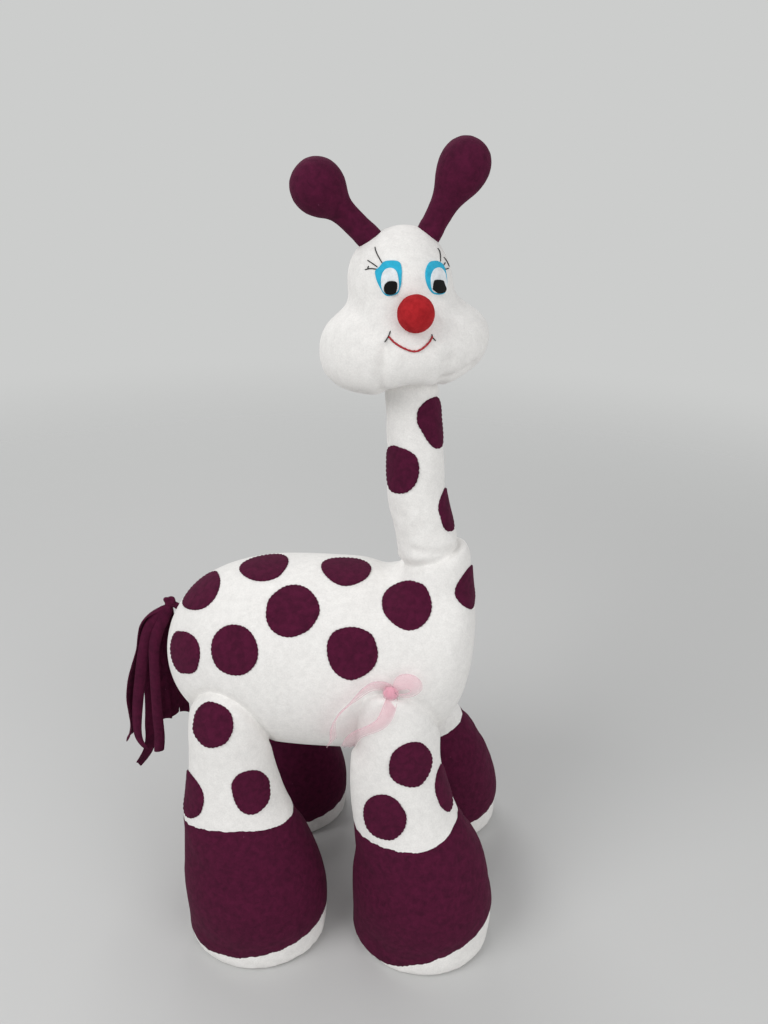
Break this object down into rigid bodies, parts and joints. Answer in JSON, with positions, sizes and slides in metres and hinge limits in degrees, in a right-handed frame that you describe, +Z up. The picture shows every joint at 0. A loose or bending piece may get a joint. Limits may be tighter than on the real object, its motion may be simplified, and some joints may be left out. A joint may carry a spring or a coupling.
{
  "type": "plush giraffe",
  "caption": "Hand-sewn stuffed fleece giraffe that stands on wide round hooves, with a long flexible neck, club horns, spots, felt eyes, a ball nose, a hanging strip tail and a ribbon bow.",
  "frame": {"origin": "on the surface that the giraffe stands on, under the middle of its whole box", "axes": "+X is the way the giraffe faces, +Z is up, and its face is sewn on towards -Y"},
  "size_m": [0.3896, 0.292, 0.7408],
  "materials": {
    "white_fleece": "matte",
    "plum_fleece": "matte",
    "red_fleece": "matte",
    "blue_felt": "matte",
    "white_felt": "matte",
    "black_felt": "matte",
    "black_thread": "satin",
    "red_thread": "satin",
    "pink_organza": "satin",
    "fibre_fill": "matte"
  },
  "bodies": {
    "torso": {"torso_cover": "white_fleece", "torso_stuffing": "fibre_fill", "torso_spot_1": "plum_fleece", "torso_spot_2": "plum_fleece", "torso_spot_3": "plum_fleece", "torso_spot_4": "plum_fleece", "torso_spot_5": "plum_fleece", "torso_spot_6": "plum_fleece", "torso_spot_7": "plum_fleece", "torso_spot_8": "plum_fleece", "torso_spot_9": "plum_fleece", "tail_knot": "plum_fleece", "ribbon_bow": "pink_organza"},
    "tail": {"tail_strips": "plum_fleece"},
    "neck": {"neck_cover": "white_fleece", "neck_stuffing": "fibre_fill", "neck_spot_1": "plum_fleece", "neck_spot_2": "plum_fleece", "neck_spot_3": "plum_fleece"},
    "horn_left": {"horn_left_cover": "plum_fleece", "horn_left_stuffing": "fibre_fill"},
    "horn_right": {"horn_right_cover": "plum_fleece", "horn_right_stuffing": "fibre_fill"},
    "head": {"head_cover": "white_fleece", "head_stuffing": "fibre_fill", "nose_cover": "red_fleece", "nose_stuffing": "fibre_fill", "eye_left_shadow": "blue_felt", "eye_left_white": "white_felt", "eye_left_pupil": "black_felt", "eye_left_lashes": "black_thread", "eye_right_shadow": "blue_felt", "eye_right_white": "white_felt", "eye_right_pupil": "black_felt", "eye_right_lashes": "black_thread", "mouth": "red_thread", "mouth_corner_left": "black_thread", "mouth_corner_right": "black_thread"},
    "rear_right_leg": {"rear_right_sole": "white_fleece", "rear_right_hoof_cover": "plum_fleece", "rear_right_leg_cover": "white_fleece", "rear_right_leg_stuffing": "fibre_fill", "rear_right_spot_1": "plum_fleece", "rear_right_spot_2": "plum_fleece", "rear_right_spot_3": "plum_fleece"},
    "front_right_leg": {"front_right_sole": "white_fleece", "front_right_hoof_cover": "plum_fleece", "front_right_leg_cover": "white_fleece", "front_right_leg_stuffing": "fibre_fill", "front_right_spot_1": "plum_fleece", "front_right_spot_2": "plum_fleece", "front_right_spot_3": "plum_fleece"},
    "rear_left_leg": {"rear_left_sole": "white_fleece", "rear_left_hoof_cover": "plum_fleece", "rear_left_leg_cover": "white_fleece", "rear_left_leg_stuffing": "fibre_fill"},
    "front_left_leg": {"front_left_sole": "white_fleece", "front_left_hoof_cover": "plum_fleece", "front_left_leg_cover": "white_fleece", "front_left_leg_stuffing": "fibre_fill"}
  },
  "joints": [
    {"name": "neck_bend", "type": "hinge", "parent": "torso", "child": "neck", "pos_m": [0.10833, 0.004, 0.389], "axis": [0, 1, 0], "range_deg": [-10, 10], "stiffness_Nm_per_rad": 3},
    {"name": "head_nod", "type": "hinge", "parent": "neck", "child": "head", "pos_m": [0.08383, 0.004, 0.547], "axis": [1, 0, 0], "range_deg": [-10, 10], "stiffness_Nm_per_rad": 1.5},
    {"name": "horn_left_flex", "type": "hinge", "parent": "head", "child": "horn_left", "pos_m": [0.04579, -0.00813, 0.67227], "axis": [-0.1736, 0.9848, 0], "range_deg": [-12, 12], "stiffness_Nm_per_rad": 0.15},
    {"name": "horn_right_flex", "type": "hinge", "parent": "head", "child": "horn_right", "pos_m": [0.09861, 0.00215, 0.67747], "axis": [-0.1736, 0.9848, 0], "range_deg": [-12, 12], "stiffness_Nm_per_rad": 0.15},
    {"name": "rear_right_hip_swing", "type": "hinge", "parent": "torso", "child": "rear_right_leg", "pos_m": [-0.07767, -0.0575, 0.2255], "axis": [0, 1, 0], "range_deg": [-2.5, 10], "stiffness_Nm_per_rad": 6},
    {"name": "front_right_hip_swing", "type": "hinge", "parent": "torso", "child": "front_right_leg", "pos_m": [0.08433, -0.0575, 0.2255], "axis": [0, 1, 0], "range_deg": [-10, 2.5], "stiffness_Nm_per_rad": 6},
    {"name": "rear_left_hip_swing", "type": "hinge", "parent": "torso", "child": "rear_left_leg", "pos_m": [-0.07767, 0.0655, 0.2255], "axis": [0, 1, 0], "range_deg": [-4, 10], "stiffness_Nm_per_rad": 6},
    {"name": "front_left_hip_swing", "type": "hinge", "parent": "torso", "child": "front_left_leg", "pos_m": [0.08433, 0.0655, 0.2255], "axis": [0, 1, 0], "range_deg": [-10, 4], "stiffness_Nm_per_rad": 6},
    {"name": "tail_swing", "type": "hinge", "parent": "torso", "child": "tail", "pos_m": [-0.14602, 0.00301, 0.32561], "axis": [0, 1, 0], "range_deg": [0, 70]}
  ]
}
